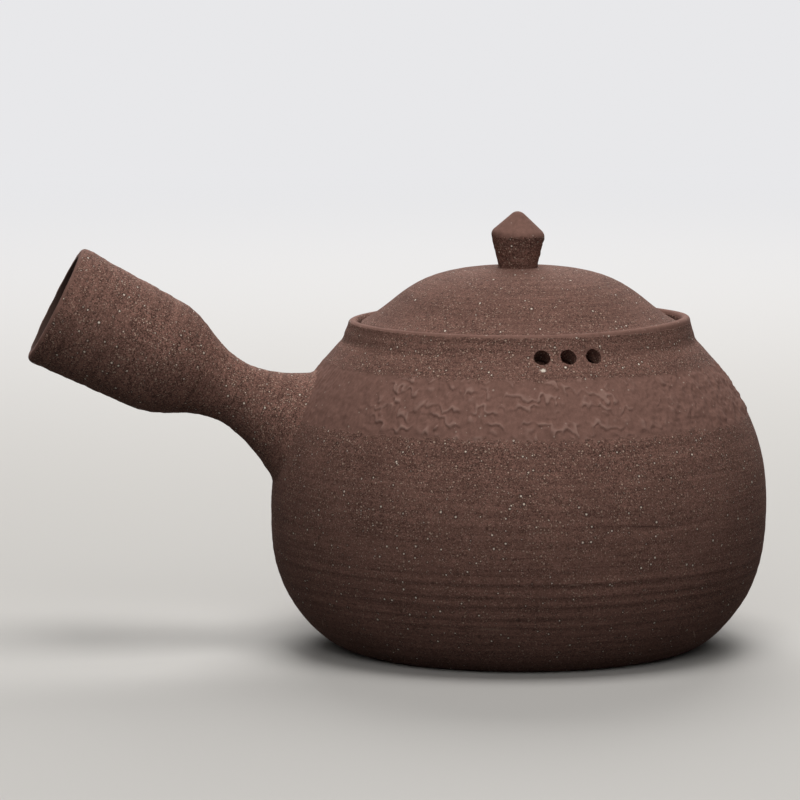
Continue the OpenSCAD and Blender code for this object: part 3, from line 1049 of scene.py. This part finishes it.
# Between these heights the clay of the body gets sandier, and lighter with a painted sheen
SANDED_AND_SHEEN = (25 * MM, 56 * MM)

# Scuffs on the body: turn about the axis, height and lean, half length and half width in millimetres,
# strength and colour
SCUFFS = (
    (-88.4, 78 * MM, 0, 0.8, 0.4, 1.0, MICA), (-42, 8 * MM, -32, 3.2, 0.2, 0.6, SAND),
    (-102, 13.5 * MM, 0, 3.5, 0.35, 0.2, SAND), (-156, 10 * MM, 40, 2.0, 0.3, 0.3, SAND),
    (-83, 25.3 * MM, 0, 2.0, 0.2, 0.35, SAND), (-66, 39.3 * MM, -4, 5.5, 0.22, 0.8, CLAY_DARK))


def finish_piece(piece, body, slot, *nodes):
    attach(piece, body)
    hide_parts(*nodes)


body_stoneware = stoneware("body_stoneware", strips=(BAND_STRIP, LIP_STRIP_AND_HIGHLIGHT), sanded_and_sheen=SANDED_AND_SHEEN, scuffs=SCUFFS)
band_clay = stoneware("band_clay", strips=(BAND_STRIP,), sanded_and_sheen=SANDED_AND_SHEEN)
# The handle, and a little the lid, get a lighter tone than the body, which paints in the sheen on them
handle_stoneware = stoneware("handle_stoneware", 1.5, handle_axes, light=0.47, lined=1.1, glint=0.6,
                             bore_shade=HANDLE_BORE_SHADE, strips=(MOUTH_STRIP_AND_HIGHLIGHT,))
spout_stoneware = stoneware("spout_stoneware", 1.3, spout_axes)
lid_stoneware = stoneware("lid_stoneware", 0.9, light=0.42, glint=0.3, dome=True)
knob_stoneware = stoneware("knob_stoneware", 1.3, strips=(CAP_STRIP,))
finish_piece(make_body(body_stoneware, hole_shade("steam_hole_painted_shade")), "pot", "stoneware", "pot_body")
finish_piece(make_band(band_clay), "pot", "fine_clay", "shoulder_band")
finish_piece(make_handle(handle_stoneware), "pot", "stoneware", "handle")
finish_piece(make_spout(spout_stoneware), "pot", "stoneware", "spout")
finish_piece(make_lid(lid_stoneware), "lid", "stoneware", "lid_dome")
finish_piece(make_flange(lid_stoneware), "lid", "stoneware", "lid_flange")
finish_piece(make_knob(knob_stoneware), "lid", "stoneware", "knob")
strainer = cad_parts["strainer"]
strainer.data.materials.clear()
strainer.data.materials.append(stoneware("strainer_stoneware"))


# Floor, light and camera

# The floor is a disc that turns into the white of the backdrop between these distances from the pot
BACKDROP_WHITE = (0.806, 0.806, 0.823, 1)
FLOOR_PALE = (0.62, 0.60, 0.57, 1)
FLOOR_BOUNCE = (0.035, 0.033, 0.03, 1)
FLOOR_R = 4
FLOOR_SIDES = 96
FLOOR_FADES = (0.25, 1.6)

# Light that the dome around the pot gives
DOME_WHITE = (1, 1, 1, 1)
DOME_STRENGTH = 0.02

# Softboxes look at this point from this distance: turn about the axis, degrees above the floor, size, power
LIGHT_AIM = Vector((0, 0, 50 * MM))
LIGHT_DISTANCE = 1.6
SOFTBOXES = {
    "front_softbox": (-95.5, 29, 0.9, 7.6),
    "top_softbox": (-80, 77, 0.9, 13.3),
    "back_softbox": (84.5, 35, 1.1, 19)}

# The camera stands above the rim and a little towards the handle, and aims to the left of the pot's axis
CAMERA_TURN, CAMERA_PITCH = math.radians(-4.3), math.radians(6.9)
CAMERA_DISTANCE = 1391 * MM
CAMERA_LENS, CAMERA_SENSOR = 238.5, 36
AIM_HEIGHT, AIM_LEFT = 64.6 * MM, 31.2 * MM


def seen_rays(finish):
    """1 for what the camera sees, directly, mirrored or through glass."""
    path = finish.node("ShaderNodeLightPath", output="Is Camera Ray")
    return path.larger(path.other("Is Glossy Ray")).larger(path.other("Is Transmission Ray"))


def make_floor():
    bpy.ops.object.select_all(action="DESELECT")
    bpy.ops.mesh.primitive_circle_add(vertices=FLOOR_SIDES, radius=FLOOR_R, fill_type="NGON")
    floor = bpy.context.object
    floor.name = "floor"
    pale = Finish(bpy.data.materials.new("pale_floor"))
    colour = pale.mix(seen_rays(pale), FLOOR_BOUNCE, FLOOR_PALE)
    pale.shade(Base_Color=colour, Roughness=0.9, Specular_IOR_Level=0.1)
    out = pale.length(pale.node("ShaderNodeTexCoord", output="Object"))
    far = pale.rise(*FLOOR_FADES, out) * seen_rays(pale)
    near = Wire(pale, pale.nodes["Principled BSDF"].outputs[0])
    glow = pale.node("ShaderNodeEmission", {}, {"Color": BACKDROP_WHITE})
    both = pale.node("ShaderNodeMixShader", {}, {0: far, 1: near, 2: glow})
    pale.join(pale.nodes["Material Output"].inputs["Surface"], both)
    floor.data.materials.append(pale.owner)


def make_dome():
    """A dome that gives little light and looks like a white backdrop."""
    world = bpy.data.worlds.new("soft_dome")
    bpy.context.scene.world = world
    dome = Finish(world)
    background = dome.nodes["Background"]
    dome.join(background.inputs["Color"], DOME_WHITE)
    dome.join(background.inputs["Strength"], DOME_STRENGTH)
    lit = Wire(dome, background.outputs[0])
    seen = dome.node("ShaderNodeBackground", {}, {"Color": BACKDROP_WHITE})
    both = dome.node("ShaderNodeMixShader", {}, {0: seen_rays(dome), 1: lit, 2: seen})
    dome.join(dome.nodes["World Output"].inputs["Surface"], both)


def make_softbox(name, turn, height, size, power):
    """A square softbox that looks at the pot from a turn about its axis and an angle above the floor."""
    light = bpy.data.lights.new(name, "AREA")
    light.shape = "SQUARE"
    light.size = size
    light.energy = power
    turn, height = math.radians(turn), math.radians(height)
    away = Vector((math.cos(turn) * math.cos(height), math.sin(turn) * math.cos(height), math.sin(height)))
    lamp = bpy.data.objects.new(name, light)
    lamp.location = LIGHT_AIM + LIGHT_DISTANCE * away
    lamp.rotation_euler = (-away).to_track_quat("-Z", "Y").to_euler()
    bpy.context.collection.objects.link(lamp)


def make_camera():
    aim = Vector((-AIM_LEFT * math.cos(CAMERA_TURN), -AIM_LEFT * math.sin(CAMERA_TURN), AIM_HEIGHT))
    back = Vector((math.sin(CAMERA_TURN) * math.cos(CAMERA_PITCH),
                   -math.cos(CAMERA_TURN) * math.cos(CAMERA_PITCH), math.sin(CAMERA_PITCH)))
    data = bpy.data.cameras.new("photo_camera")
    data.sensor_width = CAMERA_SENSOR
    data.lens = CAMERA_LENS
    camera = bpy.data.objects.new("photo_camera", data)
    camera.location = aim + CAMERA_DISTANCE * back
    camera.rotation_euler = (-back).to_track_quat("-Z", "Y").to_euler()
    bpy.context.collection.objects.link(camera)
    bpy.context.scene.camera = camera


make_floor()
make_dome()
for softbox, place in SOFTBOXES.items():
    make_softbox(softbox, *place)
make_camera()
bpy.context.scene.view_settings.view_transform = "Standard"
